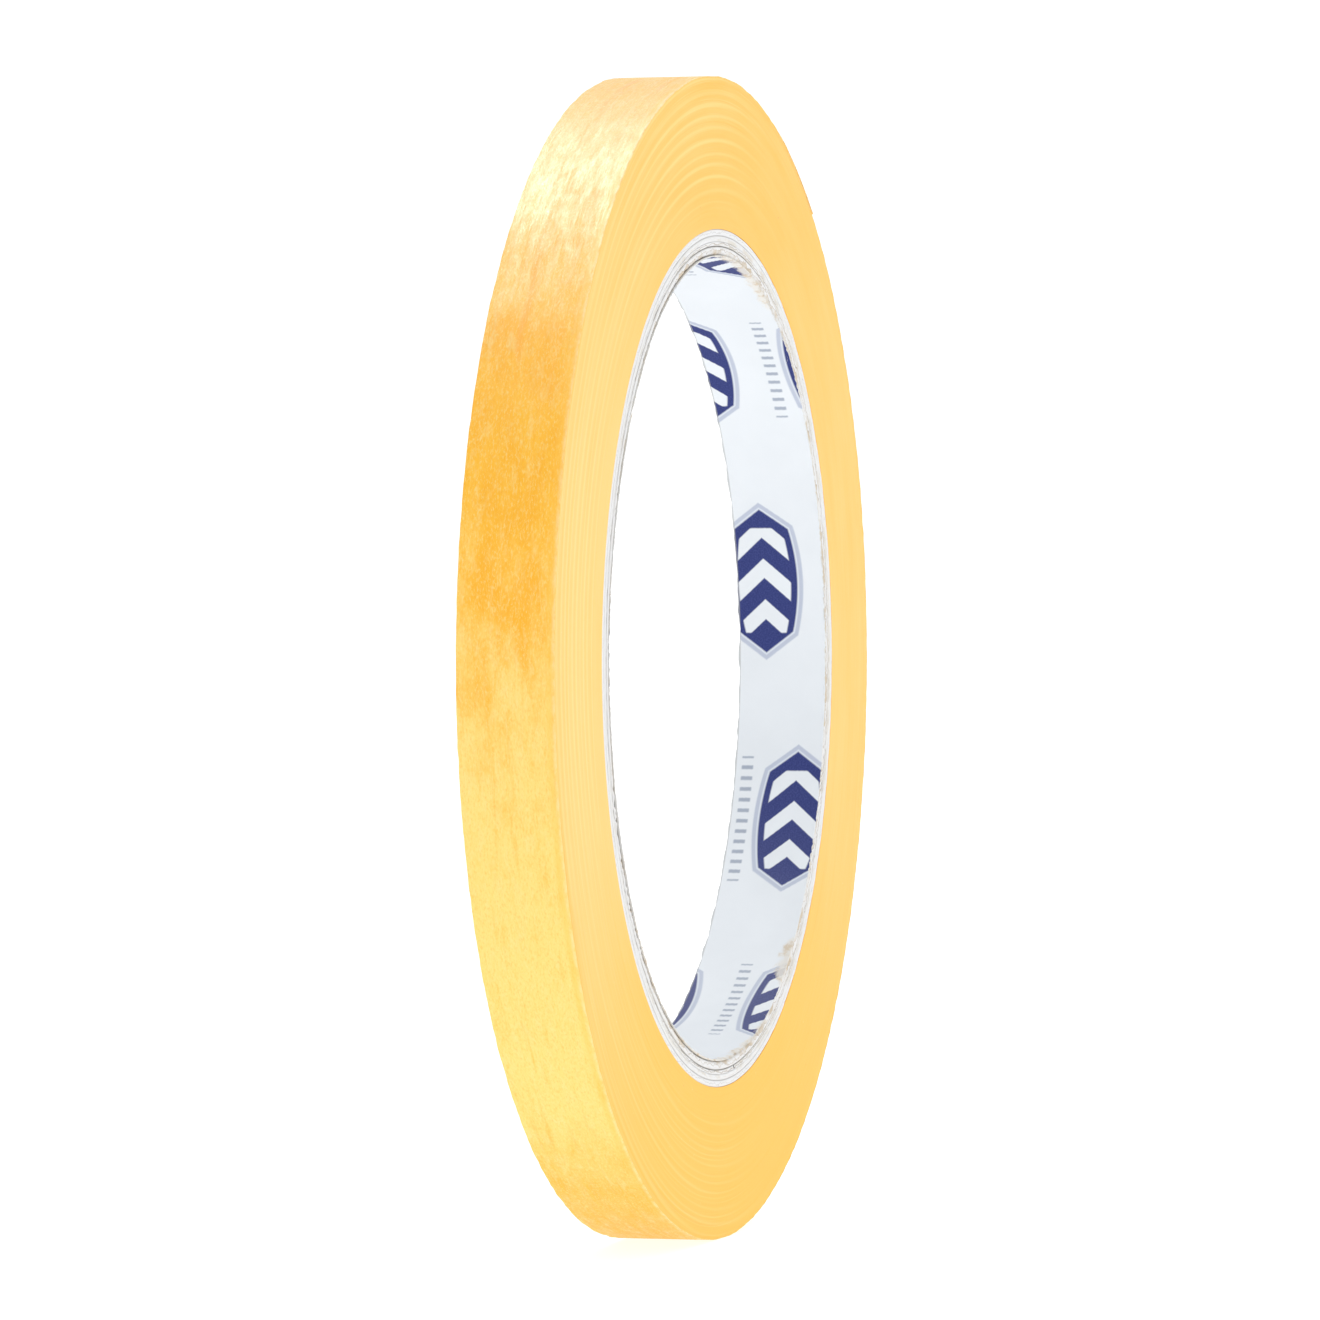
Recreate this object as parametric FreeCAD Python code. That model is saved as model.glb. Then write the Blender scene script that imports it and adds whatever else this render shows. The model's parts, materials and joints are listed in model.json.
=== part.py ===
import FreeCAD, Part
import math
import os

# Masking tape roll: a narrow washi-paper tape wound on a paperboard core.
# Millimetres. The origin is the middle of the core's bore, the roll's axis is Y and +Z is up, so the
# roll stands on its rim. Angles are measured about the axis, from +X towards +Z.

# Driving dimensions
ROLL_WIDTH = 9.0
ROLL_DIAMETER = 110.4
BORE_DIAMETER = 76.2
CORE_DIAMETER = 81.5

# Tape: crepe-free paper backing with its adhesive coat
BACKING_THICKNESS = 0.055
ADHESIVE_THICKNESS = 0.032
TAPE_THICKNESS = BACKING_THICKNESS + ADHESIVE_THICKNESS

# Core plies, from the outside in. Each is a strip wound helically and butted against itself.
OUTER_PLY_THICKNESS = 0.65
SECOND_PLY_THICKNESS = 0.55
THIRD_PLY_THICKNESS = 0.45
LINER_THICKNESS = 0.15
SEAM_GAP = 0.12
BOARD_SEAM_LEAD = 24.0
LINER_SEAM_LEAD = 10.0
OUTER_PLY_SEAM_ANGLE = 99.0
SECOND_PLY_SEAM_ANGLE = 118.0
THIRD_PLY_SEAM_ANGLE = 290.0
INNER_PLY_SEAM_ANGLE = 150.0
LINER_SEAM_ANGLE = 182.0

# Free end: the last stretch of tape, which lifts from the roll about the line where it is still stuck
END_ROOT_ANGLE = 68.6
END_LENGTH = 15.0
END_CLEARANCE = 0.05
END_CURL_RADIUS = 60.0
END_ROOT_GAP = 0.05

ROLL_RADIUS = ROLL_DIAMETER / 2
BORE_RADIUS = BORE_DIAMETER / 2
CORE_RADIUS = CORE_DIAMETER / 2
HALF_WIDTH = ROLL_WIDTH / 2
AXIS = FreeCAD.Vector(0, 1, 0)
CENTRE = FreeCAD.Vector(0, 0, 0)
SLAB_MARGIN = 1.0


def polar(radius, angle, centre=CENTRE):
    """The point on the front face at this radius and angle about a centre."""
    turn = math.radians(angle)
    offset = FreeCAD.Vector(radius * math.cos(turn), -HALF_WIDTH, radius * math.sin(turn))
    return centre + offset


def disc(radius):
    """A solid cylinder as wide as the roll."""
    return Part.makeCylinder(radius, ROLL_WIDTH, FreeCAD.Vector(0, -HALF_WIDTH, 0), AXIS)


def across_the_roll(edges):
    """The solid that a closed outline on the front face sweeps to the back face."""
    return Part.Face(Part.Wire(edges)).extrude(AXIS * ROLL_WIDTH)


def arc(radius, first_angle, last_angle, centre=CENTRE):
    """A round edge on the front face."""
    middle_angle = (first_angle + last_angle) / 2
    points = [polar(radius, angle, centre) for angle in (first_angle, middle_angle, last_angle)]
    return Part.Arc(*points).toShape()


def line(first, last):
    return Part.LineSegment(first, last).toShape()


def seam(outer_radius, inner_radius, angle, lead):
    """The thin slanted slab between the two edges of one ply's strip, on one side of the core."""
    half_run = HALF_WIDTH / math.tan(math.radians(lead))
    half_length = half_run / math.cos(math.radians(lead)) + SLAB_MARGIN
    nearest = math.sqrt(inner_radius**2 - half_run**2) - SLAB_MARGIN
    depth = outer_radius + SLAB_MARGIN - nearest
    corner = FreeCAD.Vector(nearest, -SEAM_GAP / 2, -half_length)
    slab = Part.makeBox(depth, SEAM_GAP, 2 * half_length, corner)
    slab.rotate(CENTRE, FreeCAD.Vector(1, 0, 0), -lead)
    slab.rotate(CENTRE, AXIS, -angle)
    return slab


def ply(outer_radius, thickness, seam_angle, seam_lead):
    """One paper or board ply of the core, open along its butt seam."""
    inner_radius = outer_radius - thickness
    tube = disc(outer_radius).cut(disc(inner_radius))
    return tube.cut(seam(outer_radius, inner_radius, seam_angle, seam_lead)).Solids[0]


def core_plies():
    """The five plies of the core, each wound on the one inside it."""
    inner_ply_radius = CORE_RADIUS - OUTER_PLY_THICKNESS - SECOND_PLY_THICKNESS - THIRD_PLY_THICKNESS
    inner_ply_thickness = inner_ply_radius - BORE_RADIUS - LINER_THICKNESS
    plies = [
        ("core_outer_ply", OUTER_PLY_THICKNESS, OUTER_PLY_SEAM_ANGLE, BOARD_SEAM_LEAD),
        ("core_second_ply", SECOND_PLY_THICKNESS, SECOND_PLY_SEAM_ANGLE, BOARD_SEAM_LEAD),
        ("core_third_ply", THIRD_PLY_THICKNESS, THIRD_PLY_SEAM_ANGLE, BOARD_SEAM_LEAD),
        ("core_inner_ply", inner_ply_thickness, INNER_PLY_SEAM_ANGLE, BOARD_SEAM_LEAD),
        ("core_liner", LINER_THICKNESS, LINER_SEAM_ANGLE, LINER_SEAM_LEAD),
    ]
    shapes = {}
    radius = CORE_RADIUS
    for name, thickness, seam_angle, seam_lead in plies:
        shapes[name] = ply(radius, thickness, seam_angle, seam_lead)
        radius -= thickness
    return shapes


def half_turns(layers_down, last_angle):
    """The two half circles of the last turn's spiral, this many tape thicknesses under its outer
    surface. The turn starts at the root of the free end, runs clockwise to last_angle and gains one
    thickness on the way round."""
    towards_root = polar(1, END_ROOT_ANGLE) - polar(0, END_ROOT_ANGLE)
    shift = TAPE_THICKNESS / 4
    down = layers_down * TAPE_THICKNESS
    first_radius = ROLL_RADIUS - 3 * shift - down
    second_radius = ROLL_RADIUS - shift - down
    half_way = END_ROOT_ANGLE - 180
    first = arc(first_radius, END_ROOT_ANGLE, half_way, towards_root * -shift)
    second = arc(second_radius, half_way, last_angle, towards_root * shift)
    return [first, second]


def start_of(edges):
    return edges[0].valueAt(edges[0].FirstParameter)


def end_of(edges):
    return edges[-1].valueAt(edges[-1].LastParameter)


def tape_wound_turns():
    """All the turns under the last one: a pack between the core and the spiral under that turn."""
    rim = half_turns(1, END_ROOT_ANGLE - 360)
    pack = across_the_roll([*rim, line(end_of(rim), start_of(rim))])
    return pack.cut(disc(CORE_RADIUS)).Solids[0]


def tape_outer_turn():
    """The last turn that is still stuck down, from under the free end's root round to that root."""
    last_angle = END_ROOT_ANGLE - 360 + math.degrees(END_ROOT_GAP / ROLL_RADIUS)
    outer = half_turns(0, last_angle)
    inner = half_turns(1, last_angle)
    end_face = line(end_of(outer), end_of(inner))
    start_face = line(start_of(inner), start_of(outer))
    return across_the_roll([*outer, end_face, *reversed(inner), start_face])


def end_layer(inner_offset, thickness):
    """One layer of the free end: an arc that lies a little off the turn under it and curls up."""
    tip_angle = END_ROOT_ANGLE - math.degrees(END_LENGTH / END_CURL_RADIUS)
    inner_distance = ROLL_RADIUS - TAPE_THICKNESS + END_CLEARANCE
    outwards = polar(1, END_ROOT_ANGLE) - polar(0, END_ROOT_ANGLE)
    centre = outwards * (inner_distance - END_CURL_RADIUS)
    inner_radius = END_CURL_RADIUS + inner_offset
    outer_radius = inner_radius + thickness
    outer = arc(outer_radius, END_ROOT_ANGLE, tip_angle, centre)
    inner = arc(inner_radius, tip_angle, END_ROOT_ANGLE, centre)
    tip = line(end_of([outer]), start_of([inner]))
    root = line(end_of([inner]), start_of([outer]))
    return across_the_roll([outer, tip, inner, root])


def hinge_line():
    """The middle of the line about which the free end lifts: its root, at the outer surface."""
    return polar(ROLL_RADIUS + END_CLEARANCE, END_ROOT_ANGLE) + AXIS * HALF_WIDTH


def main():
    shapes = core_plies()
    shapes["tape_wound_turns"] = tape_wound_turns()
    shapes["tape_outer_turn"] = tape_outer_turn()
    shapes["tape_end_adhesive"] = end_layer(0, ADHESIVE_THICKNESS)
    shapes["tape_end_tab"] = end_layer(ADHESIVE_THICKNESS, BACKING_THICKNESS)
    os.makedirs("parts", exist_ok=True)
    for name, shape in shapes.items():
        shape.exportStep(f"parts/{name}.step")
        print(name, shape.isValid(), len(shape.Solids), round(shape.Volume, 2))
    print("free end's hinge line", hinge_line())


main()
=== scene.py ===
import bmesh
import bpy
import json
import math
import numpy as np
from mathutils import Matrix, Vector


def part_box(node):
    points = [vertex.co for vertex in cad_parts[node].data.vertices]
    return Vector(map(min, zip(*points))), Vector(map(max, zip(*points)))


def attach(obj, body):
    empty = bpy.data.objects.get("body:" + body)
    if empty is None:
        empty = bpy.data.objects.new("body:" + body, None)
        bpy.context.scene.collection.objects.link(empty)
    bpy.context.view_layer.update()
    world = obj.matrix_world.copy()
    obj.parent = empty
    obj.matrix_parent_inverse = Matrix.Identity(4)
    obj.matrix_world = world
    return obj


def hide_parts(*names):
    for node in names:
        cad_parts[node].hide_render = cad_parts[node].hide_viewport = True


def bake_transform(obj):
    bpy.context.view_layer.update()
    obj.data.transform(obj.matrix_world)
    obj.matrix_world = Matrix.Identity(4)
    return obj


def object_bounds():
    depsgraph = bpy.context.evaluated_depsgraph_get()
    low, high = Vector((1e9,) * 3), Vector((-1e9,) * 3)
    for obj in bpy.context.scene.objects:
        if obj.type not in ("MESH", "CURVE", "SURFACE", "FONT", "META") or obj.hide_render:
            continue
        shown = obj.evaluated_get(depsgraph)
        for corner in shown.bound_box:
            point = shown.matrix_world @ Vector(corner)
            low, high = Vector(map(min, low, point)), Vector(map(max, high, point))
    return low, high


# A roll of narrow washi masking tape on a paperboard core, seen nearly edge-on in a white studio.
# Lengths are in millimetres until a mesh is made. Angles are about the roll's axis (Y), from +X
# towards +Z, in radians.

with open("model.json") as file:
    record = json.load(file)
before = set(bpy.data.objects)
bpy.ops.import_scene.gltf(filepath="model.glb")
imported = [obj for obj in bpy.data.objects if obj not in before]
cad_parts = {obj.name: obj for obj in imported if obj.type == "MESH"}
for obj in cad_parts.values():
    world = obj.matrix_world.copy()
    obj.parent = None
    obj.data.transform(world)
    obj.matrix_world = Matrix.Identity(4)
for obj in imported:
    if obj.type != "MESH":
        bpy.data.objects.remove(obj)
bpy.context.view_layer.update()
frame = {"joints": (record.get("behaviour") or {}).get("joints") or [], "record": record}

METRES = 0.001
TURN = 2 * math.pi


# ---------------------------------------------------------------- sizes, from the frame


def outer_radius(node):
    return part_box(node)[1].z / METRES


def mount(name):
    return next(m for m in frame["record"]["mounts"] if m["name"] == name)


HINGE = Vector(frame["joints"][0]["pos_m"])
HALF_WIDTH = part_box("tape_wound_turns")[1].y / METRES
CORE_RADIUS = outer_radius("core_outer_ply")
SECOND_PLY_RADIUS = outer_radius("core_second_ply")
THIRD_PLY_RADIUS = outer_radius("core_third_ply")
INNER_PLY_RADIUS = outer_radius("core_inner_ply")
LINER_RADIUS = outer_radius("core_liner")
BORE_RADIUS = mount("core_bore")["dims"]["r_mm"]

# The free end: its root is the joint's line, at the outer surface
BACKING = 0.055
ADHESIVE = 0.032
TAPE = BACKING + ADHESIVE
END_CLEARANCE = 0.05
END_CURL_RADIUS = 60.0
END_LENGTH = 15.0
ROOT_GAP = 0.05
ROOT_ANGLE = math.atan2(HINGE.z, HINGE.x)
ROLL_RADIUS = math.hypot(HINGE.x, HINGE.z) / METRES - END_CLEARANCE

# Seams of the core's strips
BOARD_LEAD = math.radians(24)
LINER_LEAD = math.radians(10)
SEAM_GAP = 0.12

# The proud bands on the sides of the roll: how far apart, how high, and how deep they reach in
BAND_PITCH = 1.15
FINE_BAND_PITCH = 0.66
BAND_HEIGHT = 0.014
BANDS_FADE = (10.0, 13.0)

# Edges sharper than this stay sharp in the shading
SHARP_CORNER = math.radians(42)


# ---------------------------------------------------------------- shapes


def ripple(seed, angle, lowest, highest, size, terms=28):
    """A smooth random curve round the roll, about +-size: cosines of whole orders, so it closes."""
    rng = np.random.default_rng(seed)
    orders = rng.integers(lowest, highest + 1, terms)
    phases = rng.uniform(0, TURN, terms)
    weights = rng.normal(0, 1, terms)
    waves = sum(w * np.cos(o * angle + p) for o, p, w in zip(orders, phases, weights))
    return size * waves / math.sqrt(terms / 2)


def step(value, low, high):
    """0 below low, 1 above high and a smooth rise between them."""
    share = np.clip((value - low) / (high - low), 0, 1)
    return share * share * (3 - 2 * share)


def cylinder_points(radius, angle, across):
    """Points from radius, angle and place across the roll, which broadcast together."""
    radius, angle, across = np.broadcast_arrays(radius, angle, across)
    return np.stack([radius * np.cos(angle), across, radius * np.sin(angle)], axis=-1)


def make_mesh(name, points, faces, strip=None):
    mesh = bpy.data.meshes.new(name)
    mesh.from_pydata((points.reshape(-1, 3) * METRES).tolist(), [], faces)
    mesh.validate()
    if strip is not None:
        attribute = mesh.attributes.new("strip", "FLOAT_VECTOR", "POINT")
        attribute.data.foreach_set("vector", strip.reshape(-1, 3).astype(np.float32).ravel())
    piece = bpy.data.objects.new(name, mesh)
    bpy.context.scene.collection.objects.link(piece)
    return piece


def grid_faces(rows, columns, rows_close):
    """Quads over a grid whose columns close on themselves, with end faces if the rows don't."""
    row, column = np.meshgrid(np.arange(rows if rows_close else rows - 1), np.arange(columns), indexing="ij")
    after = (row + 1) % rows
    beside = (column + 1) % columns
    quads = np.stack(
        [
            row * columns + column,
            row * columns + beside,
            after * columns + beside,
            after * columns + column,
        ],
        axis=-1,
    )
    faces = quads.reshape(-1, 4).tolist()
    if not rows_close:
        faces.append(list(range(columns))[::-1])
        faces.append([(rows - 1) * columns + c for c in range(columns)])
    return faces


def swept(name, radius, angle, across, rows_close=False, along=None):
    """A closed solid through cross-sections. The arrays are (sections, points round a section).
    The strip attribute keeps the paper's own coordinates: along it, across it, and the radius."""
    points = cylinder_points(radius, angle, across)
    if along is None:
        along = np.broadcast_to(angle, points.shape[:2]) * ROLL_RADIUS
    spread = np.broadcast_arrays(along, across, radius)
    strip = np.stack(spread, axis=-1)
    rows, columns = points.shape[:2]
    return make_mesh(name, points, grid_faces(rows, columns, rows_close), strip)


def outward(piece):
    """Turns the faces to the outside and smooths all but the sharp corners."""
    work = bmesh.new()
    work.from_mesh(piece.data)
    bmesh.ops.recalc_face_normals(work, faces=work.faces)
    work.to_mesh(piece.data)
    work.free()
    piece.data.shade_smooth()
    piece.data.set_sharp_from_angle(angle=SHARP_CORNER)
    return piece


def dress(piece, material, body="roll"):
    """Gives the piece its material, its body and its finish."""
    outward(piece)
    piece.data.materials.append(material)
    if body:
        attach(piece, body)
    return piece


def rim_swell(angle, across):
    """How far the tape stands proud of a true circle: soft creases and lifts across the rim."""
    share = across / HALF_WIDTH
    even = ripple(11, angle, 9, 46, 0.020)
    tilt = ripple(12, angle, 6, 60, 0.018) * share
    crown = ripple(13, angle, 5, 30, 0.016) * (1 - share**2)
    back_lip = ripple(14, angle, 40, 150, 0.016) * step(share, 0.75, 1.0)
    front_lip = ripple(15, angle, 30, 120, 0.008) * step(-share, 0.8, 1.0)
    return even + tilt + crown + back_lip + front_lip


def spiral_radius(clockwise):
    """Outer surface of the last turn, this far clockwise from the free end's root."""
    return ROLL_RADIUS - TAPE + TAPE * clockwise / TURN


def side_relief(radius, angle, seed):
    """How far the edges of the layers stand proud of the side face: bands where the winding
    wandered, and single layers out of line, more so near the rim. The half of the roll towards +X
    is nearly even. The bands are wide in the upper part of the roll and fine in the lower part.
    Returns the relief and the bands alone, as a share of their full height."""
    depth = spiral_radius(0) - radius
    wander = ripple(seed, angle, 1, 3, 0.22)
    strength = 0.15 + 0.85 * step(-np.cos(angle), -0.50, 0.15)
    strength = strength * (0.8 + ripple(seed + 1, angle, 1, 5, 0.15))
    uneven = 0.10 * np.sin(TURN * depth / 4.3 + 1.0) + 0.06 * np.sin(TURN * depth / 1.9)
    height = 0.85 + 0.15 * np.sin(TURN * depth / 3.1 + angle)
    upper = step(np.sin(angle - 0.5), -0.35, 0.55)
    wide_bands = upper * np.cos(TURN * (depth + uneven + wander) / BAND_PITCH)
    fine_bands = 0.55 * (1 - upper) * np.cos(TURN * (depth + 2 * uneven + wander) / FINE_BAND_PITCH)
    bands = BAND_HEIGHT * (wide_bands + fine_bands) * height * (1 - step(depth, *BANDS_FADE))
    layers = np.zeros(np.broadcast(radius, angle).shape)
    rng = np.random.default_rng(seed + 2)
    row = np.broadcast_to(angle, layers.shape)[:, 0]
    for column in range(layers.shape[1]):
        near_rim = math.exp(-max(float(depth[0, column]), 0) / 2.2)
        size = 0.005 + 0.011 * near_rim
        layers[:, column] = rng.normal(0, size) + ripple(rng.integers(1 << 30), row, 1, 7, size * 0.6, 8)
    lip = -0.03 * np.exp(-np.maximum(depth, 0) / 0.25)
    return (bands + layers) * strength + lip, bands * strength / BAND_HEIGHT


def wound_turns():
    """The pack of turns under the last one, with the layers' edges in relief on both sides. A
    section goes out along the front, across the rim, in along the back and across the bore."""
    sections = 384
    side_points = 108
    angle = np.linspace(0, TURN, sections, endpoint=False)[:, None]
    clockwise = np.mod(ROOT_ANGLE - angle, TURN)
    rim = spiral_radius(clockwise) - TAPE
    share = np.linspace(0, 1, side_points)[None, :] ** 0.9
    side = CORE_RADIUS + (rim - CORE_RADIUS) * share
    front_relief, front_bands = side_relief(side, angle, 100)
    back_relief, back_bands = side_relief(side, angle, 200)
    rim_across = np.linspace(-0.8, 0.8, 7)[None, :] * HALF_WIDTH
    rim_radius = rim + rim_swell(angle, rim_across)
    side_swell_front = rim_swell(angle, np.array([[-HALF_WIDTH]])) * share**6
    side_swell_back = rim_swell(angle, np.array([[HALF_WIDTH]])) * share**6
    bore_across = np.linspace(0.8, -0.8, 3)[None, :] * HALF_WIDTH
    bore = np.full((sections, 3), CORE_RADIUS)
    radius = np.hstack([side + side_swell_front, rim_radius, (side + side_swell_back)[:, ::-1], bore])
    wide = np.ones((sections, 1))
    front, back = -HALF_WIDTH - front_relief, HALF_WIDTH + back_relief
    across = np.hstack([front, rim_across * wide, back[:, ::-1], bore_across * wide])
    # The bands' share rides in the strip attribute, for the painted light and shade on them in layer_edges
    bands = np.hstack([front_bands, 0 * rim_radius, back_bands[:, ::-1], 0 * bore])
    return swept("tape_wound_turns_edges", radius, angle, across, rows_close=True, along=bands)


def tape_section():
    """A tape's cross-section, as share of the width and depth under its outer surface."""
    outer = [(s, 0.0) for s in np.linspace(-0.985, 0.985, 27)]
    back = [(0.997, 0.012), (1.0, TAPE / 2), (0.998, TAPE)]
    inner = [(s, TAPE) for s in np.linspace(0.85, -0.85, 9)]
    front = [(-0.998, TAPE), (-1.0, TAPE / 2), (-0.997, 0.012)]
    return np.array(outer + back + inner + front)


def outer_turn():
    """The last turn that is still stuck down."""
    sections = 1100
    last = TURN - ROOT_GAP / ROLL_RADIUS
    clockwise = np.linspace(0, last, sections)[:, None]
    angle = ROOT_ANGLE - clockwise
    share, depth = tape_section().T[:, None, :]
    edge = np.where(share > 0, ripple(31, angle, 30, 260, 0.014), ripple(32, angle, 20, 240, 0.010))
    across = share * (HALF_WIDTH + edge)
    radius = spiral_radius(clockwise) - depth + rim_swell(angle, across)
    return swept("tape_outer_turn_paper", radius, angle, across)


def end_sheet(name, top, bottom):
    """One layer of the free end, from its top surface to its bottom one, measured out from the
    face of the adhesive. It leaves the turn at the root and curls away from it towards the tip."""
    sections = 90
    points_across = 25
    tip = END_LENGTH / END_CURL_RADIUS
    share = np.linspace(0, 1, sections)[:, None]
    spots = np.linspace(-1, 1, points_across)
    wide = np.concatenate([spots, spots[::-1]])[None, :]
    height = np.concatenate([np.full(points_across, top), np.full(points_across, bottom)])[None, :]
    ragged = 0.16 * np.sin(wide * 9 + 1) + 0.08 * np.sin(wide * 31 + 2) + 0.05 * np.sin(wide * 57)
    bend = share * tip + share**12 * ragged / END_CURL_RADIUS
    across = wide * (HALF_WIDTH + ripple(41, bend * 40, 3, 20, 0.010))
    settle = (END_CLEARANCE - 0.002) * (1 - step(share * END_LENGTH, 0, 2.5))
    reach = END_CURL_RADIUS + height - settle
    centre = ROLL_RADIUS - TAPE + END_CLEARANCE - END_CURL_RADIUS
    outwards = centre + reach * np.cos(bend)
    forwards = reach * np.sin(bend)
    radius = np.hypot(outwards, forwards)
    angle = ROOT_ANGLE - np.arctan2(forwards, outwards)
    radius = radius + rim_swell(angle, across)
    return swept(name, radius, angle, across)


def strip_round_core(name, outer, inner, seam_angle, lead, front_edge, back_edge, face_points, sections):
    """A ply of the core: a strip wound once, open along its slanted seam. front_edge and back_edge
    say how far each side stands in, from the angle and the share of the way in from outside."""
    edge_points = 7
    share_in = np.linspace(0, 1, edge_points)
    inside = np.linspace(-0.96, 0.96, face_points)
    front, back = np.full(edge_points, -1.0), np.full(edge_points, 1.0)
    sides = np.concatenate([front, inside, back, inside[::-1]])
    depth = np.concatenate([share_in, np.ones(face_points), share_in[::-1], np.zeros(face_points)])
    sides, depth = sides[None, :], depth[None, :]
    turn = np.linspace(0, 1, sections)[:, None]
    radius = outer + (inner - outer) * depth
    seam_run = sides * HALF_WIDTH / math.tan(lead) / outer
    gap = SEAM_GAP / math.sin(lead) / outer
    angle = seam_angle + seam_run + gap / 2 + turn * (TURN - gap)
    recess = np.where(sides < 0, front_edge(angle, depth), back_edge(angle, depth))
    across = sides * HALF_WIDTH - np.sign(sides) * recess * (np.abs(sides) >= 1)
    return swept(name, radius, angle, across, along=angle * inner)


def rounded(depth, size):
    """A soft corner at both faces of a ply's cut edge."""
    return size * (2 * np.abs(depth - 0.5)) ** 6


def cut_edge(seed, size, corner, lean=0.0):
    """The cut edge of a board ply: rounded corners, saw marks, and a lean towards the bore."""

    def recess(angle, depth):
        marks = ripple(seed, angle, 12, 90, size) + ripple(seed + 1, angle, 90, 240, size * 0.5)
        return rounded(depth, corner) + marks + lean * depth

    return recess


def torn_edge(seed, size, corner, lean):
    """The bore edge of the core, where the blade dragged the paper: deeper here and there."""

    def recess(angle, depth):
        slow = np.clip(ripple(seed, angle, 2, 9, 1.0), 0, 2)
        rags = np.abs(ripple(seed + 1, angle, 60, 300, size)) * (0.3 + slow)
        return rounded(depth, corner) + rags * (0.4 + depth) + lean * depth**3

    return recess


# ---------------------------------------------------------------- materials


class Nodes:
    """A material's node tree, with short calls for the nodes that the materials share."""

    def __init__(self, name):
        self.material = bpy.data.materials.new(name)
        self.material.use_nodes = True
        self.tree = self.material.node_tree
        self.shader = self.tree.nodes["Principled BSDF"]

    def node(self, kind, **settings):
        made = self.tree.nodes.new(kind)
        for key, value in settings.items():
            setattr(made, key, value)
        return made

    def feed(self, socket, value):
        if isinstance(value, bpy.types.NodeSocket):
            self.tree.links.new(value, socket)
        else:
            socket.default_value = value

    def math(self, operation, first, second=0.0, third=0.0):
        made = self.node("ShaderNodeMath", operation=operation)
        for socket, value in zip(made.inputs, (first, second, third)):
            self.feed(socket, value)
        return made.outputs[0]

    def times(self, first, second):
        return self.math("MULTIPLY", first, second)

    def offset(self, value, zero=0.5):
        """How far the value is from its middle."""
        return self.math("SUBTRACT", value, zero)

    def combine(self, x, y, z):
        made = self.node("ShaderNodeCombineXYZ")
        for socket, value in zip(made.inputs, (x, y, z)):
            self.feed(socket, value)
        return made.outputs[0]

    def strip(self):
        """The paper's own coordinates in millimetres: along, across, radius."""
        made = self.node("ShaderNodeAttribute", attribute_name="strip")
        parts = self.node("ShaderNodeSeparateXYZ")
        self.tree.links.new(made.outputs["Vector"], parts.inputs[0])
        return parts.outputs

    def place(self):
        """The place in the row frame, in millimetres."""
        made = self.node("ShaderNodeTexCoord")
        scaled = self.node("ShaderNodeVectorMath", operation="SCALE")
        self.tree.links.new(made.outputs["Object"], scaled.inputs[0])
        scaled.inputs["Scale"].default_value = 1 / METRES
        parts = self.node("ShaderNodeSeparateXYZ")
        self.tree.links.new(scaled.outputs[0], parts.inputs[0])
        return parts.outputs

    def noise(self, vector, scale, detail=2.0, roughness=0.5, distortion=0.0):
        made = self.node("ShaderNodeTexNoise")
        self.feed(made.inputs["Vector"], vector)
        made.inputs["Scale"].default_value = scale
        made.inputs["Detail"].default_value = detail
        made.inputs["Roughness"].default_value = roughness
        made.inputs["Distortion"].default_value = distortion
        return made.outputs["Fac"]

    def between(self, value, low, high, first=0.0, last=1.0):
        """Goes smoothly from first to last as the value goes from low to high."""
        made = self.node("ShaderNodeMapRange", interpolation_type="SMOOTHSTEP")
        self.feed(made.inputs["Value"], value)
        made.inputs["From Min"].default_value = low
        made.inputs["From Max"].default_value = high
        made.inputs["To Min"].default_value = first
        made.inputs["To Max"].default_value = last
        return made.outputs[0]

    def mix(self, share, first, second):
        made = self.node("ShaderNodeMix", data_type="RGBA", clamp_factor=True)
        self.feed(made.inputs["Factor"], share)
        for socket, value in ((made.inputs["A"], first), (made.inputs["B"], second)):
            self.feed(socket, (*value, 1.0) if isinstance(value, tuple) else value)
        return made.outputs["Result"]

    def bump(self, height, distance, under=None):
        """A relief of this many millimetres, on top of the one under it."""
        made = self.node("ShaderNodeBump")
        made.inputs["Distance"].default_value = distance * METRES
        self.feed(made.inputs["Height"], height)
        if under is not None:
            self.tree.links.new(under, made.inputs["Normal"])
        return made.outputs["Normal"]

    def finish(self, colour, roughness, normal=None, **sockets):
        """Feeds the shader. The other sockets get one value for the whole surface."""
        self.feed(self.shader.inputs["Base Color"], colour)
        self.feed(self.shader.inputs["Roughness"], roughness)
        if normal is not None:
            self.tree.links.new(normal, self.shader.inputs["Normal"])
        for name, value in sockets.items():
            self.shader.inputs[name.replace("_", " ")].default_value = value
        return self.material


# The direction, as x and z, in which the paper is painted paler: painted light, a painted reflection of the
# bright floor on the low side towards -X
PALE_LIGHT_TOWARDS = (-0.848, -0.530)


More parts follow.
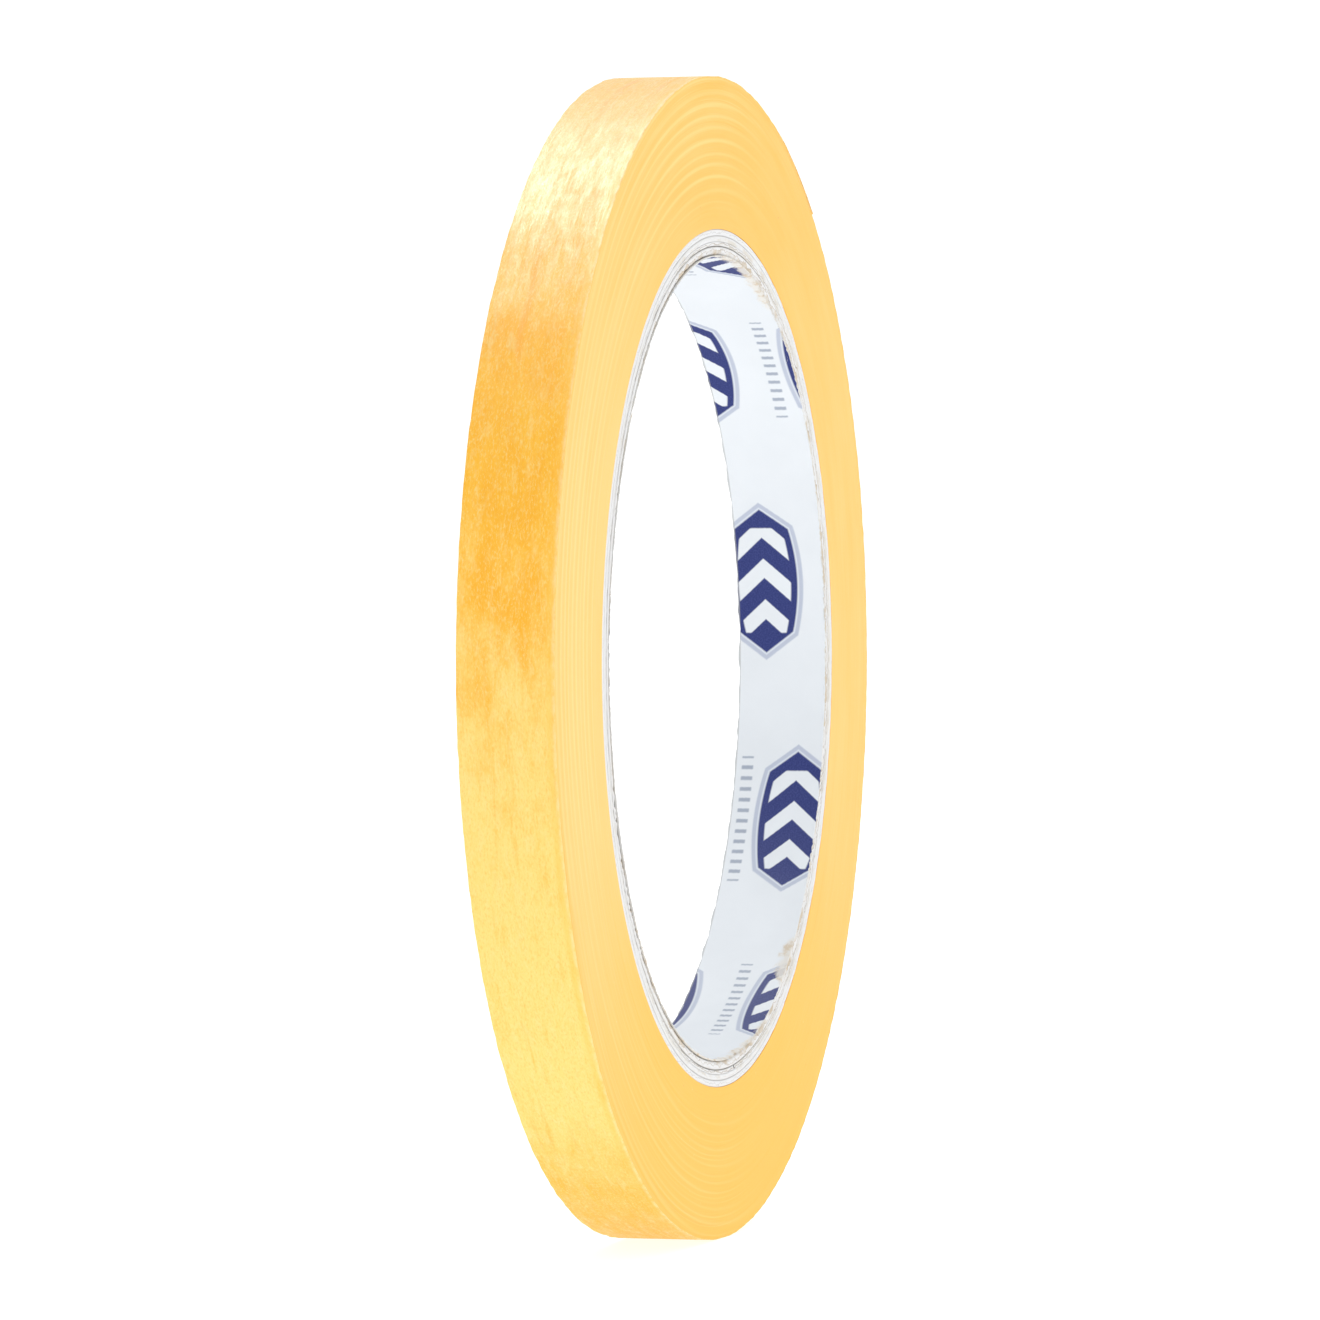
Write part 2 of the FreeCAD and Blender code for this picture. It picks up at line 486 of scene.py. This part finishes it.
def washi_paper():
    """Translucent rice-paper tape: long fibres round the roll, cloudy thickness, orange, with painted light:
    paler low on the side towards -X, where the bright floor reflects, and greyer near the top, where the
    highlight falls."""
    n = Nodes("washi_paper")
    along, across, _ = n.strip()
    x, _, z = n.place()

    def stretched(per_mm_along, per_mm_across, place):
        return n.combine(n.times(along, per_mm_along), n.times(across, per_mm_across), place)

    def threads(vector, width):
        """Thin curved lines where a noise crosses its middle."""
        off = n.math("ABSOLUTE", n.offset(n.noise(vector, 1.0, 2.0, 0.5, 0.8)))
        return n.between(off, width, 0.0)

    cloud = n.noise(stretched(0.16, 0.35, 3.1), 1.0, 4.0, 0.62)
    mottle = n.noise(stretched(0.50, 1.2, 8.4), 1.0, 4.0, 0.62, 0.5)
    fleck = n.noise(stretched(0.8, 1.6, 2.9), 1.0, 4.0, 0.65)
    streak = n.noise(stretched(0.10, 1.5, 1.7), 1.0, 3.0, 0.6)
    ridge = n.noise(stretched(0.22, 3.2, 6.6), 1.0, 3.0, 0.6, 0.3)
    grain = n.noise(stretched(2.6, 6.0, 2.2), 1.0, 3.0, 0.75)
    long_threads = threads(stretched(0.20, 1.1, 5.2), 0.020)
    short_threads = threads(stretched(0.55, 1.6, 9.3), 0.024)
    broken = n.between(n.noise(stretched(0.4, 0.9, 4.4), 1.0, 2.0), 0.42, 0.62)

    # Painted light: the paper is pale low on the side towards -X, where the bright floor reflects in it, and
    # orange above it
    light_x, light_z = PALE_LIGHT_TOWARDS
    painted_light_amount = n.math("ADD", n.times(x, light_x), n.times(z, light_z))
    painted_light_amount = n.math("ADD", painted_light_amount, n.times(n.offset(cloud), 28.0))
    pale = n.between(painted_light_amount, 40.0, 54.0)

    # Painted highlight: greyer near the top on the side towards -X, where the softbox's highlight falls,
    # with a ragged border to the orange part
    ragged = n.math("MULTIPLY_ADD", n.offset(streak), -34.0, z)
    ragged = n.math("MULTIPLY_ADD", n.offset(mottle), 26.0, ragged)
    high = n.times(n.between(ragged, 26.5, 46.5, 0.0, 0.85), n.between(x, 14.0, -8.0))

    colour = n.mix(n.between(cloud, 0.36, 0.64), (0.96, 0.465, 0.012), (0.98, 0.515, 0.028))
    # The pale colour of the painted light
    colour = n.mix(pale, colour, (1.0, 0.690, 0.185))
    # The grey of the painted highlight near the top
    colour = n.mix(high, colour, (0.86, 0.530, 0.125))
    # Painted shade: the very top of the rim, where the overhead light grazes, is painted deeper and less
    # blue
    colour = n.mix(n.between(z, 47.0, 53.0, 0.0, 0.6), colour, (0.86, 0.520, 0.060))
    # Painted shade: deeper orange towards the bottom of the rim
    colour = n.mix(n.between(z, -40.0, -52.0, 0.0, 0.85), colour, (0.98, 0.480, 0.022))
    colour = n.mix(n.between(mottle, 0.50, 0.72, 0.0, 0.36), colour, (1.0, 0.74, 0.280))
    flecks = n.between(fleck, 0.53, 0.68, 0.0, 0.60)
    flecks = n.times(flecks, n.math("MULTIPLY_ADD", pale, -0.6, 1.0))
    colour = n.mix(flecks, colour, (0.98, 0.51, 0.040))
    colour = n.mix(n.between(streak, 0.54, 0.74, 0.0, 0.45), colour, (0.96, 0.47, 0.030))

    # Long soft creases round the roll, kept out of the painted pale light
    lengths = n.noise(stretched(0.07, 0.3, 5.5), 1.0, 2.0)
    lengths = n.times(n.between(lengths, 0.38, 0.58, 0.0, 0.75), n.between(painted_light_amount, 36.0, 22.0))
    for place, size in ((0.9, 0.55), (-2.5, 0.45)):
        wander = n.math("MULTIPLY_ADD", cloud, 1.2, -0.6 - place)
        crease = n.between(n.math("ABSOLUTE", n.math("ADD", across, wander)), size, 0.0)
        colour = n.mix(n.times(crease, lengths), colour, (0.96, 0.42, 0.018))

    # Fibres, grain, and the fuzzy slit edge at the front, with a painted highlight along it
    threads_share = n.times(n.math("MAXIMUM", long_threads, short_threads), broken)
    colour = n.mix(n.times(threads_share, 0.30), colour, (1.0, 0.78, 0.30))
    colour = n.mix(n.between(grain, 0.50, 0.70, 0.0, 0.60), colour, (1.0, 0.74, 0.27))
    colour = n.mix(n.between(grain, 0.50, 0.30, 0.0, 0.40), colour, (0.94, 0.40, 0.030))
    beside = n.between(across, -HALF_WIDTH + 0.95, -HALF_WIDTH + 0.60)
    colour = n.mix(n.times(beside, 0.35), colour, (1.0, 0.56, 0.07))
    # Painted highlight: the fuzzy front edge is painted paler where it catches the light, broken up by its
    # fuzz
    edge = n.between(across, -HALF_WIDTH + 0.42, -HALF_WIDTH + 0.05)
    edge_fuzz_and_highlight = n.between(n.noise(stretched(0.8, 2.0, 7.1), 1.0, 4.0, 0.7), 0.35, 0.60, 0.10, 0.50)
    colour = n.mix(n.times(edge, edge_fuzz_and_highlight), colour, (1.0, 0.80, 0.42))

    normal = n.bump(streak, 0.12)
    normal = n.bump(ridge, 0.045, under=normal)
    normal = n.bump(mottle, 0.035, under=normal)
    normal = n.bump(threads_share, 0.004, under=normal)
    normal = n.bump(grain, 0.024, under=normal)
    roughness = n.between(ridge, 0.3, 0.7, 0.54, 0.42)
    roughness = n.math("MULTIPLY_ADD", n.offset(mottle), -0.40, roughness)
    return n.finish(colour, roughness, normal, Specular_IOR_Level=0.45)


def layer_edges():
    """The side of the roll: the cut edges of the layers as fine rings, with painted light and shade on their
    relief: paler where they stand proud and deeper where they lie back. Deeper in colour above and below the
    core than beside it."""
    n = Nodes("tape_layer_edges")
    bands, across, _ = n.strip()
    x, y, z = n.place()
    x_squared = n.times(x, x)
    z_squared = n.times(z, z)
    radius = n.math("SQRT", n.math("ADD", x_squared, z_squared))

    def rings(per_mm_round, per_mm_out, detail):
        at = n.combine(n.times(x, per_mm_round), n.times(radius, per_mm_out), n.times(z, per_mm_round))
        return n.noise(at, 1.0, detail, 0.6)

    layers = rings(0.012, 3.4, 3.0)
    threads = rings(0.05, 9.5, 2.0)
    cloud = rings(0.06, 0.35, 2.0)
    dust = n.noise(n.combine(x, y, z), 2.3, 2.0, 0.6)
    beside = n.math("DIVIDE", n.math("SUBTRACT", x_squared, z_squared), n.math("ADD", x_squared, z_squared))
    facing = n.math("DIVIDE", x, radius)
    pale = n.math("MULTIPLY_ADD", beside, 0.30, n.math("MULTIPLY_ADD", facing, -0.20, 0.50))
    pale = n.math("MULTIPLY_ADD", n.offset(cloud), 0.9, pale)
    near_rim = n.between(radius, ROLL_RADIUS - 5.0, ROLL_RADIUS - 0.5, 0.35, 1.0)
    busy = n.times(near_rim, n.between(facing, 0.75, 0.0, 0.3, 1.0))
    colour = n.mix(pale, (1.0, 0.520, 0.066), (1.0, 0.625, 0.175))
    dark = n.times(n.between(layers, 0.52, 0.72), busy)
    colour = n.mix(n.times(dark, 0.55), colour, (0.97, 0.50, 0.070))
    light = n.times(n.between(threads, 0.55, 0.75), busy)
    colour = n.mix(n.times(light, 0.55), colour, (1.0, 0.74, 0.30))
    proud = n.math("SUBTRACT", n.math("ABSOLUTE", across), HALF_WIDTH)
    low = n.between(n.math("DIVIDE", z, radius), -0.35, -0.95)
    colour = n.mix(n.times(low, 0.75), colour, (1.0, 0.535, 0.045))
    # Painted light and shade on the relief: proud bands and layers painted paler, layers that lie back
    # painted deeper
    colour = n.mix(n.between(bands, 0.0, 0.95, 0.0, 0.55), colour, (1.0, 0.74, 0.27))
    colour = n.mix(n.between(proud, 0.004, 0.030, 0.0, 0.40), colour, (1.0, 0.72, 0.27))
    colour = n.mix(n.between(proud, -0.004, -0.030, 0.0, 0.35), colour, (0.98, 0.50, 0.050))
    colour = n.mix(n.between(dust, 0.72, 0.80, 0.0, 0.35), colour, (1.0, 0.80, 0.45))
    crumb = n.noise(n.combine(x, y, z), 1.1, 1.0, 0.5)
    colour = n.mix(n.between(crumb, 0.825, 0.84, 0.0, 0.8), colour, (0.42, 0.22, 0.06))
    normal = n.bump(layers, 0.05)
    normal = n.bump(threads, 0.02, under=normal)
    normal = n.bump(dust, 0.01, under=normal)
    return n.finish(colour, 0.5, normal, Specular_IOR_Level=0.35)


def clear_adhesive():
    """The sticky side of the free end: pale yellow and shiny, with a slight orange peel."""
    n = Nodes("tape_adhesive_coat")
    along, across, _ = n.strip()
    peel = n.noise(n.combine(along, across, 0.4), 1.4, 3.0, 0.5)
    fibre_at = n.combine(n.times(along, 0.9), n.times(across, 7.0), 5.2)
    fibre = n.noise(fibre_at, 1.0, 3.0, 0.6)
    colour = n.mix(n.between(fibre, 0.35, 0.7), (0.90, 0.62, 0.20), (0.98, 0.74, 0.32))
    normal = n.bump(peel, 0.05)
    return n.finish(colour, n.between(peel, 0.3, 0.7, 0.16, 0.28), normal, Coat_Weight=0.3)


def board(name, outer, inner, face, core, grain, outer_gap, inner_gap):
    """White-lined recycled board, seen mostly at its cut edge: layered, with grey and tan specks.
    The face colour is the outer part of the ply and the core colour the inner part. The gaps say how dark
    the joints with its neighbours are: dark glue lines, and painted shade where a crevice opens between
    plies."""
    n = Nodes(name)
    x, y, z = n.place()
    radius = n.math("SQRT", n.math("ADD", n.times(x, x), n.times(z, z)))
    fine_at = n.combine(n.times(x, 0.8), n.times(radius, 7.0), n.times(z, 0.8))
    fine = n.noise(fine_at, 1.0, 4.0, 0.6)
    patch = n.noise(n.combine(n.times(x, 0.35), y, n.times(z, 0.35)), 1.0, 3.0, 0.6)
    speck = n.noise(n.combine(x, y, z), 3.0, 2.0, 0.7)
    scallop = n.noise(n.combine(x, y, z), 0.8, 3.0, 0.65)
    wavy = n.math("MULTIPLY_ADD", n.offset(scallop), 1.5 * (outer - inner), radius)
    middle = (outer + inner) / 2
    inwards = n.between(wavy, middle + 0.06, middle - 0.06)
    colour = n.mix(n.between(fine, 0.36, 0.66, 0.0, grain), face, core)
    colour = n.mix(inwards, colour, n.mix(n.between(patch, 0.36, 0.62), core, face))
    rag = n.between(n.math("ABSOLUTE", n.math("SUBTRACT", wavy, middle)), 0.07, 0.0, 0.0, inner_gap)
    colour = n.mix(rag, colour, n.mix(0.6, core, (0.20, 0.13, 0.07)))
    dark = (0.20, 0.18, 0.16)
    # The joints: dark glue lines, and painted shade in the crevices between plies
    colour = n.mix(n.between(radius, outer - 0.10, outer - 0.01, 0.0, outer_gap), colour, dark)
    colour = n.mix(n.between(radius, inner + 0.10, inner + 0.01, 0.0, inner_gap), colour, dark)
    colour = n.mix(n.between(speck, 0.70, 0.80, 0.0, 0.5), colour, (0.42, 0.35, 0.28))
    normal = n.bump(fine, 0.06)
    normal = n.bump(speck, 0.03, under=normal)
    return n.finish(colour, 0.72, normal)


# The liner's print: plain hexagonal badges with chevrons, each with a small ruled strip beside it.
# A badge's neighbour along the liner sits a little further across, and rows repeat across.
PRINT_PITCH = 24.9
PRINT_STEP = 3.65
PRINT_ROWS = 12.75
PRINT_START = TURN * BORE_RADIUS + 7.85
PRINT_ACROSS = 1.65
BADGE_HALF_WIDTH = 3.40
BADGE_BULGE = 0.022
BADGE_REACH = 5.9
OUTLINE = 0.62
STRIP_ACROSS = 5.2
STRIP_HALF_LENGTH = 6.9

# Where the blade tore the front edge of the bore: middle and half width in degrees, and how badly
BORE_WEAR = ((78, 22, 0.75), (-52, 7, 0.8), (-92, 30, 0.65), (-132, 18, 0.5), (140, 20, 0.3))


def printed_liner():
    """White coated paper with a generic print in navy and light blue-grey."""
    n = Nodes("core_liner_print")
    along, across, radius = n.strip()
    ragged = n.noise(n.combine(along, across, 6.0), 3.0, 2.0)
    face = n.between(radius, BORE_RADIUS + 0.06, BORE_RADIUS + 0.02)
    from_start = n.math("MULTIPLY_ADD", ragged, 0.06, n.math("SUBTRACT", along, PRINT_START))

    def folded(value, period):
        """The distance from the nearest centre, with its sign."""
        shifted = n.math("ADD", value, period / 2)
        return n.math("SUBTRACT", n.math("FLOORED_MODULO", shifted, period), period / 2)

    def below(value, limit, soft=0.10):
        return n.between(value, limit + soft, limit - soft)

    def all_of(*shares):
        total = shares[0]
        for share in shares[1:]:
            total = n.times(total, share)
        return total

    badge = n.math("ROUND", n.math("DIVIDE", from_start, PRINT_PITCH))
    u = n.math("MULTIPLY_ADD", badge, -PRINT_PITCH, from_start)
    off_row = n.math("MULTIPLY_ADD", badge, -PRINT_STEP, n.math("SUBTRACT", across, PRINT_ACROSS))
    v = folded(off_row, PRINT_ROWS)
    u_size = n.math("ABSOLUTE", u)
    v_size = n.math("ABSOLUTE", v)
    slanted = n.math("MULTIPLY_ADD", u_size, 0.8, n.times(v_size, 0.6))
    bulged = n.math("MULTIPLY_ADD", n.times(u, u), BADGE_BULGE, v_size)
    outside = n.math("MAXIMUM", n.offset(bulged, BADGE_HALF_WIDTH), n.offset(slanted, BADGE_REACH))
    chevron = folded(n.math("SUBTRACT", n.math("MULTIPLY_ADD", v_size, 0.9, u), 1.2), 4.2)
    stripes = all_of(below(n.math("ABSOLUTE", chevron), 1.0), below(bulged, 2.75), below(u_size, 5.4))
    strip_v = n.math("ABSOLUTE", folded(n.math("SUBTRACT", off_row, STRIP_ACROSS), PRINT_ROWS))
    tick = below(n.math("ABSOLUTE", folded(u, 1.15)), 0.20, 0.10)
    ticks = all_of(tick, below(strip_v, 0.60), below(u_size, STRIP_HALF_LENGTH))

    base = n.between(n.noise(n.combine(along, across, 9.0), 0.12, 3.0), 0.3, 0.7)
    paper = n.mix(base, (0.77, 0.81, 0.85), (0.80, 0.84, 0.88))
    ink = n.noise(n.combine(along, across, 4.0), 6.0, 2.0)
    navy = n.mix(n.between(ink, 0.3, 0.8), (0.026, 0.038, 0.17), (0.045, 0.062, 0.23))
    colour = n.mix(all_of(below(outside, OUTLINE), 0.80), paper, (0.44, 0.49, 0.62))
    colour = n.mix(below(outside, OUTLINE / 3), colour, (0.70, 0.75, 0.82))
    colour = n.mix(below(outside, 0.02), colour, navy)
    colour = n.mix(stripes, colour, paper)
    colour = n.mix(all_of(ticks, 0.70), colour, (0.20, 0.25, 0.36))
    colour = n.mix(face, (0.70, 0.70, 0.68), colour)
    back_edge = n.between(across, HALF_WIDTH - 0.20, HALF_WIDTH - 0.08)
    colour = n.mix(all_of(back_edge, 0.6), colour, (0.42, 0.43, 0.42))

    x, _, z = n.place()
    angle = n.times(n.math("ARCTAN2", z, x), 360 / TURN)
    rub = n.noise(n.combine(n.times(along, 0.7), n.times(across, 1.3), 7.7), 1.0, 5.0, 0.7)
    worn = 0.05
    for middle, half_width, wear in BORE_WEAR:
        near = n.between(n.math("ABSOLUTE", n.math("SUBTRACT", angle, middle)), half_width, half_width * 0.4)
        worn = n.math("MAXIMUM", worn, all_of(near, wear))
    reach = n.math("MULTIPLY_ADD", worn, 1.9, n.math("MULTIPLY_ADD", rub, 2.6, -1.75 - HALF_WIDTH))
    rubbed = n.between(n.math("SUBTRACT", reach, across), -0.15, 0.55)
    deep = n.between(n.noise(n.combine(along, across, 2.2), 0.9, 3.0, 0.6), 0.46, 0.66)
    bare = n.mix(deep, (0.79, 0.765, 0.71), (0.66, 0.55, 0.40))
    colour = n.mix(all_of(rubbed, 0.85), colour, bare)
    sheet = n.noise(n.combine(along, across, 1.0), 1.6, 4.0, 0.6)
    waves = n.noise(n.combine(n.times(along, 0.30), n.times(across, 0.4), 2.0), 1.0, 1.0)
    normal = n.bump(waves, 0.10)
    normal = n.bump(sheet, 0.006, under=normal)
    return n.finish(colour, n.between(rubbed, 0.0, 1.0, 0.62, 0.85), normal, Specular_IOR_Level=0.22)


def torn_fibres():
    """Loose brown and white paper fibres."""
    n = Nodes("core_torn_fibres")
    x, y, z = n.place()
    patch = n.noise(n.combine(x, y, z), 0.9, 3.0, 0.6)
    colour = n.mix(n.between(patch, 0.35, 0.65), (0.62, 0.50, 0.36), (0.86, 0.80, 0.70))
    return n.finish(colour, 0.85, n.bump(patch, 0.02), Sheen_Weight=0.3)


# ---------------------------------------------------------------- pieces


def add_tape():
    paper = washi_paper()
    wound = dress(wound_turns(), layer_edges())
    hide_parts("tape_wound_turns")
    turn = dress(outer_turn(), paper)
    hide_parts("tape_outer_turn")
    layers = (
        ("tape_end_tab_paper", TAPE, ADHESIVE, paper, "tape_paper", "tape_end_tab"),
        ("tape_end_adhesive_coat", ADHESIVE, 0.0, clear_adhesive(), "tape_adhesive", "tape_end_adhesive"),
    )
    for name, top, bottom, material, slot, node in layers:
        sheet = dress(end_sheet(name, top, bottom), material, body=None)
        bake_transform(sheet)
        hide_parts(node)


def add_core():
    """The four board plies and the printed liner, each a strip wound once round the core."""
    white = (0.81, 0.82, 0.83)
    cream = (0.72, 0.69, 0.63)
    tan = (0.62, 0.53, 0.41)
    outer_cut = cut_edge(51, 0.006, 0.10)
    second_cut = cut_edge(53, 0.008, 0.10)
    third_cut = cut_edge(55, 0.012, 0.14, lean=0.10)
    inner_cut = torn_edge(57, 0.05, 0.16, 0.20)
    # Each ply's node, seam angle, cut edge, and then its board: core colour, grain and two gaps, the dark
    # joints, with painted shade in the crevice between the third and the inner ply
    plies = (
        ("core_outer_ply", 99, outer_cut, white, 0.3, 0.55, 0.45),
        ("core_second_ply", 118, second_cut, cream, 0.3, 0.45, 0.10),
        ("core_third_ply", 290, third_cut, cream, 0.3, 0.05, 0.90),
        ("core_inner_ply", 150, inner_cut, tan, 0.2, 0.80, 0.60),
    )
    radii = (CORE_RADIUS, SECOND_PLY_RADIUS, THIRD_PLY_RADIUS, INNER_PLY_RADIUS, LINER_RADIUS)
    for (node, seam_angle, edge, *finish), outer, inner in zip(plies, radii, radii[1:]):
        name = f"{node}_board"
        seam = math.radians(seam_angle)
        strip = strip_round_core(name, outer, inner, seam, BOARD_LEAD, edge, edge, 4, 720)
        dress(strip, board(name, outer, inner, white, *finish))
        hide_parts(node)
    liner = strip_round_core(
        "core_liner_paper",
        LINER_RADIUS,
        BORE_RADIUS,
        math.radians(182),
        LINER_LEAD,
        front_edge=torn_edge(61, 0.10, 0.02, 0.0),
        back_edge=cut_edge(63, 0.035, 0.02),
        face_points=18,
        sections=1080,
    )
    dress(liner, printed_liner())
    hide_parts("core_liner")


def add_fibres():
    """Torn paper fibres along the front edge of the bore, thick in a few places."""
    rng = np.random.default_rng(71)
    rows, columns = 5, 4
    # Middle and spread in degrees, how many, and how long; the last ones lie all round
    places = (
        (88, 16, 70, 0.9),
        (60, 12, 60, 1.0),
        (38, 14, 30, 0.7),
        (-53, 5, 26, 0.9),
        (-80, 16, 60, 0.9),
        (-108, 12, 30, 0.7),
        (228, 14, 34, 0.8),
        (0, 180, 110, 0.45),
    )
    points, faces = [], []
    for middle, spread, count, size in places:
        for _ in range(count):
            angle = math.radians(middle + rng.normal(0, spread) if spread < 100 else rng.uniform(0, 360))
            length = size * rng.uniform(0.25, 0.9)
            width = rng.uniform(0.02, 0.06)
            radius = rng.uniform(BORE_RADIUS - 0.02, LINER_RADIUS + 0.25)
            lean = rng.normal(0, 1.1)
            inward = rng.uniform(-0.1, 0.35)
            start = -HALF_WIDTH + rng.uniform(0.0, 0.35)
            curl = rng.normal(0, 0.5)
            first = len(points)
            for share in np.linspace(0, 1, rows):
                sideways = math.sin(lean + curl * share) * length * share / radius
                outwards = start - math.cos(lean + curl * share) * length * share * 0.35
                height = radius - inward * length * share
                taper = width * (1 - 0.75 * share)
                side, lift = taper / radius, taper * 0.5
                for turn_shift, rise in ((-side, 0), (0, lift), (side, 0), (0, -lift)):
                    at = angle + sideways + turn_shift
                    level = height + rise
                    points.append((level * math.cos(at), outwards, level * math.sin(at)))
            for face in grid_faces(rows, columns, rows_close=False):
                faces.append([first + corner for corner in face])
    piece = make_mesh("core_bore_torn_fibres", np.array(points), faces)
    dress(piece, torn_fibres())


add_tape()
add_core()
add_fibres()


# ---------------------------------------------------------------- studio


def add_floor():
    """A wide white table under the roll."""
    half = 12.0
    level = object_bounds()[0].z
    corners = [(-half, -half, level), (half, -half, level), (half, half, level), (-half, half, level)]
    mesh = bpy.data.meshes.new("studio_floor")
    mesh.from_pydata(corners, [], [(0, 1, 2, 3)])
    floor = bpy.data.objects.new("studio_floor", mesh)
    bpy.context.scene.collection.objects.link(floor)
    grey = (0.38, 0.38, 0.38, 1.0)
    white = (1.0, 1.0, 1.0, 1.0)
    lit = Nodes("studio_white").finish(grey, 0.9, Emission_Color=white, Emission_Strength=0.81)
    floor.data.materials.append(lit)


def add_studio():
    """Soft white surroundings that are dimmer in front of the roll, and a softbox overhead."""
    world = bpy.data.worlds.new("studio")
    bpy.context.scene.world = world
    world.use_nodes = True
    tree = world.node_tree
    background = tree.nodes["Background"]

    def node_math(operation, first, second):
        made = tree.nodes.new("ShaderNodeMath")
        made.operation = operation
        for socket, value in zip(made.inputs, (first, second)):
            if isinstance(value, bpy.types.NodeSocket):
                tree.links.new(value, socket)
            else:
                socket.default_value = value
        return made.outputs[0]

    def rise(value, low, high):
        made = tree.nodes.new("ShaderNodeMapRange")
        made.interpolation_type = "SMOOTHSTEP"
        tree.links.new(value, made.inputs["Value"])
        made.inputs["From Min"].default_value = low
        made.inputs["From Max"].default_value = high
        return made.outputs[0]

    coordinates = tree.nodes.new("ShaderNodeTexCoord")
    direction = tree.nodes.new("ShaderNodeSeparateXYZ")
    tree.links.new(coordinates.outputs["Generated"], direction.inputs[0])
    left = rise(direction.outputs["X"], -0.05, -0.75)
    upper_left = node_math("MULTIPLY", left, rise(direction.outputs["Z"], 0.10, 0.50))
    ceiling = rise(direction.outputs["Z"], 0.25, 0.85)
    around = node_math("SUBTRACT", 1.15, node_math("MULTIPLY", ceiling, 0.06))
    around = node_math("ADD", around, node_math("MULTIPLY", left, 0.20))
    brightness = node_math("SUBTRACT", around, node_math("MULTIPLY", upper_left, 0.80))
    tree.links.new(brightness, background.inputs["Strength"])
    background.inputs["Color"].default_value = (1, 1, 1, 1)

    towards = Vector((0.14, 0.27, 0.95)).normalized()
    lamp = bpy.data.lights.new("softbox", "AREA")
    lamp.shape = "SQUARE"
    lamp.size = 0.4
    lamp.energy = 7.2
    distance = 0.7
    softbox = bpy.data.objects.new("softbox", lamp)
    softbox.location = towards * distance
    softbox.rotation_mode = "QUATERNION"
    softbox.rotation_quaternion = towards.to_track_quat("Z", "Y")
    softbox.visible_diffuse = False
    bpy.context.scene.collection.objects.link(softbox)
    bpy.context.scene.view_settings.view_transform = "Standard"


# Where the photographer stood, as the roll's own axes see it
CAMERA_AZIMUTH = math.radians(-74.07)
CAMERA_ELEVATION = math.radians(0.23)
CAMERA_DISTANCE = 608.3
CAMERA_LENS = 174.05
AIM_LEFT = 1.80
AIM_DOWN = 0.18


def add_camera():
    cosine = math.cos(CAMERA_ELEVATION)
    back = Vector(
        (
            math.sin(CAMERA_AZIMUTH) * cosine,
            -math.cos(CAMERA_AZIMUTH) * cosine,
            math.sin(CAMERA_ELEVATION),
        )
    )
    right = Vector((math.cos(CAMERA_AZIMUTH), math.sin(CAMERA_AZIMUTH), 0))
    up = back.cross(right)
    data = bpy.data.cameras.new("camera")
    data.lens = CAMERA_LENS
    data.sensor_width = 36.0
    data.clip_start = 0.01
    data.clip_end = 100.0
    camera = bpy.data.objects.new("camera", data)
    aim = -right * AIM_LEFT * METRES - up * AIM_DOWN * METRES
    camera.location = back * CAMERA_DISTANCE * METRES
    towards = (aim - camera.location).normalized()
    camera.rotation_mode = "QUATERNION"
    camera.rotation_quaternion = towards.to_track_quat("-Z", "Y")
    bpy.context.scene.collection.objects.link(camera)
    bpy.context.scene.camera = camera


add_floor()
add_studio()
add_camera()
